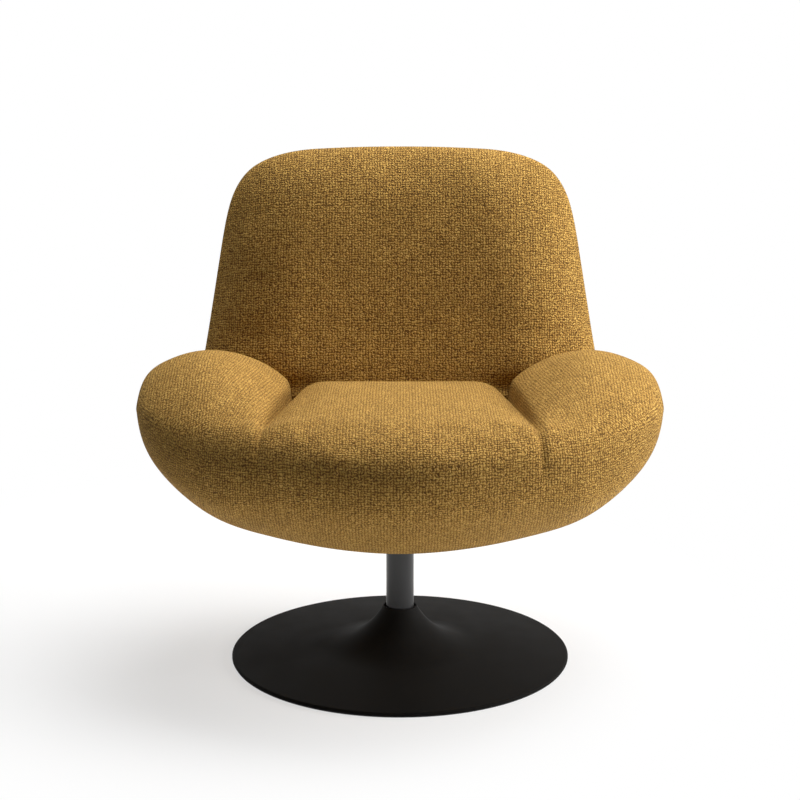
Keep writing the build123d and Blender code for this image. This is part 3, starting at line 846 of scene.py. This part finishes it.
def hardMaterial(name, look):
    material, nodes, links, shader = newMaterial(name)
    place = nodes.new("ShaderNodeTexCoord")
    stretch = nodes.new("ShaderNodeMapping")
    stretch.inputs["Scale"].default_value = look.get("stretch", (1, 1, 1))
    links.new(place.outputs["Object"], stretch.inputs["Vector"])
    grain = noiseNode(nodes, links, stretch.outputs[0], look["grain"], grainy["detail"])
    cloud = noiseNode(nodes, links, stretch.outputs[0], cloudy["scale"], cloudy["detail"])
    dark = tuple(c * (1 - look["drift"] / 2) for c in look["colour"])
    light = tuple(min(c * (1 + look["drift"] / 2), 1) for c in look["colour"])
    fine = mathNode(nodes, links, "MULTIPLY", grain.outputs["Fac"], grainy["share"])
    both = mathNode(nodes, links, "ADD", cloud.outputs["Fac"], fine)
    colour = rampNode(nodes, links, both, list(zip(cloudy["stops"], (dark, light))))
    links.new(colour, shader.inputs["Base Color"])
    rough = nodes.new("ShaderNodeMapRange")
    rough.inputs["From Min"].default_value, rough.inputs["From Max"].default_value = cloudy["spread"]
    rough.inputs["To Min"].default_value, rough.inputs["To Max"].default_value = look["rough"]
    links.new(cloud.outputs["Fac"], rough.inputs["Value"])
    links.new(rough.outputs[0], shader.inputs["Roughness"])
    bump = nodes.new("ShaderNodeBump")
    bump.inputs["Strength"].default_value = grainy["bump"]
    bump.inputs["Distance"].default_value = look["depth"]
    links.new(grain.outputs["Fac"], bump.inputs["Height"])
    links.new(bump.outputs[0], shader.inputs["Normal"])
    shader.inputs["Metallic"].default_value = look["metal"]
    shader.inputs["Specular IOR Level"].default_value = look["specular"]
    return material


for finish, look in finishes.items():
    material = hardMaterial(finish, look)
    for node in look["nodes"]:
        mesh = cadNodes[node].data
        mesh.materials.clear()
        mesh.materials.append(material)
print("hard finishes,", len(finishes))


# floor, backdrop and lamps

stage = {
    "floorSize": 40, "floorColour": (0.82, 0.82, 0.82), "seenColour": (0.95, 0.95, 0.95),
    # fade, whiteShare and shadowPlace set painted light on the floor: a glow for the eye that is least
    # around shadowPlace, where the shadow is kept
    "fade": (0.35, 0.85), "whiteShare": 0.6, "shadowPlace": (-0.28, 0.15, 0),
    "sky": {"top": 0.06, "rim": 0.04},
    "lamps": (
        {"name": "side", "place": (3.0, 0.05, 1.3), "aim": (0, 0, 0.35), "size": 1.6, "power": 94},
        {"name": "overhead", "place": (0.5, 0.8, 2.9), "aim": (0, 0, 0.4), "size": 2.2, "power": 114},
        {"name": "below", "place": (0, 0.12, 0.012), "aim": (0, 0.12, 1), "size": 1.0, "power": 2.4},
    ),
    "mirroredAbove": 0.1,
}


def seenDirectly(nodes, links):
    # camera, glossy and transmission rays see the plain white surroundings
    path = nodes.new("ShaderNodeLightPath")
    seen = path.outputs["Is Camera Ray"]
    for kind in ("Is Glossy Ray", "Is Transmission Ray"):
        seen = mathNode(nodes, links, "MAXIMUM", seen, path.outputs[kind])
    return seen


def makeFloor():
    bpy.ops.object.select_all(action="DESELECT")
    bpy.ops.mesh.primitive_plane_add(size=stage["floorSize"], location=(0, 0, 0))
    floor = bpy.context.object
    floor.name = "floor"
    material, nodes, links, shader = newMaterial("paleFloor")
    direct = seenDirectly(nodes, links)
    colour = mixColours(nodes, links, "MIX", direct, stage["floorColour"], stage["seenColour"])
    links.new(colour, shader.inputs["Base Color"])
    shader.inputs["Roughness"].default_value = 0.9
    shader.inputs["Specular IOR Level"].default_value = 0
    # painted light: for the eye the floor glows towards plain white, least around a fixed place left
    # of and behind the chair where its shadow is kept, so shade the lamps cast elsewhere, as in front
    # of the chair, is painted out
    place = nodes.new("ShaderNodeTexCoord")
    far = nodes.new("ShaderNodeVectorMath")
    far.operation = "DISTANCE"
    links.new(place.outputs["Object"], far.inputs[0])
    far.inputs[1].default_value = stage["shadowPlace"]
    fade = nodes.new("ShaderNodeMapRange")
    fade.interpolation_type = "SMOOTHSTEP"
    fade.inputs["From Min"].default_value, fade.inputs["From Max"].default_value = stage["fade"]
    fade.inputs["To Min"].default_value = stage["whiteShare"]
    links.new(far.outputs["Value"], fade.inputs["Value"])
    amount = mathNode(nodes, links, "MULTIPLY", fade.outputs[0], direct)
    glow = nodes.new("ShaderNodeEmission")
    mix = nodes.new("ShaderNodeMixShader")
    links.new(amount, mix.inputs[0])
    links.new(shader.outputs[0], mix.inputs[1])
    links.new(glow.outputs[0], mix.inputs[2])
    links.new(mix.outputs[0], nodes["Material Output"].inputs["Surface"])
    floor.data.materials.append(material)


def makeSky():
    world = bpy.data.worlds.new("studio")
    scene.world = world
    world.use_nodes = True
    nodes, links = world.node_tree.nodes, world.node_tree.links
    lit = nodes["Background"]
    place = nodes.new("ShaderNodeTexCoord")
    parts = nodes.new("ShaderNodeSeparateXYZ")
    links.new(place.outputs["Generated"], parts.inputs[0])
    strength = nodes.new("ShaderNodeMapRange")
    strength.inputs["To Min"].default_value = stage["sky"]["rim"]
    strength.inputs["To Max"].default_value = stage["sky"]["top"]
    links.new(parts.outputs[2], strength.inputs["Value"])
    links.new(strength.outputs[0], lit.inputs["Strength"])
    lit.inputs["Color"].default_value = (1, 1, 1, 1)
    plain = nodes.new("ShaderNodeBackground")
    mix = nodes.new("ShaderNodeMixShader")
    links.new(seenDirectly(nodes, links), mix.inputs[0])
    links.new(lit.outputs[0], mix.inputs[1])
    links.new(plain.outputs[0], mix.inputs[2])
    plain.inputs["Color"].default_value = (1, 1, 1, 1)
    links.new(mix.outputs[0], nodes["World Output"].inputs["Surface"])


def makeLamp(settings):
    bpy.ops.object.light_add(type="AREA", location=settings["place"])
    lamp = bpy.context.object
    lamp.name = settings["name"]
    lamp.data.size = settings["size"]
    lamp.data.energy = settings["power"]
    lamp.visible_camera = False
    lamp.visible_glossy = settings["place"][2] > stage["mirroredAbove"]
    aim = np.array(settings["aim"]) - np.array(settings["place"])
    flat = math.hypot(aim[0], aim[1])
    lamp.rotation_euler = (math.atan2(flat, -aim[2]), 0, math.atan2(-aim[0], aim[1]))


makeFloor()
makeSky()
for lampSettings in stage["lamps"]:
    makeLamp(lampSettings)
print("stage lit")
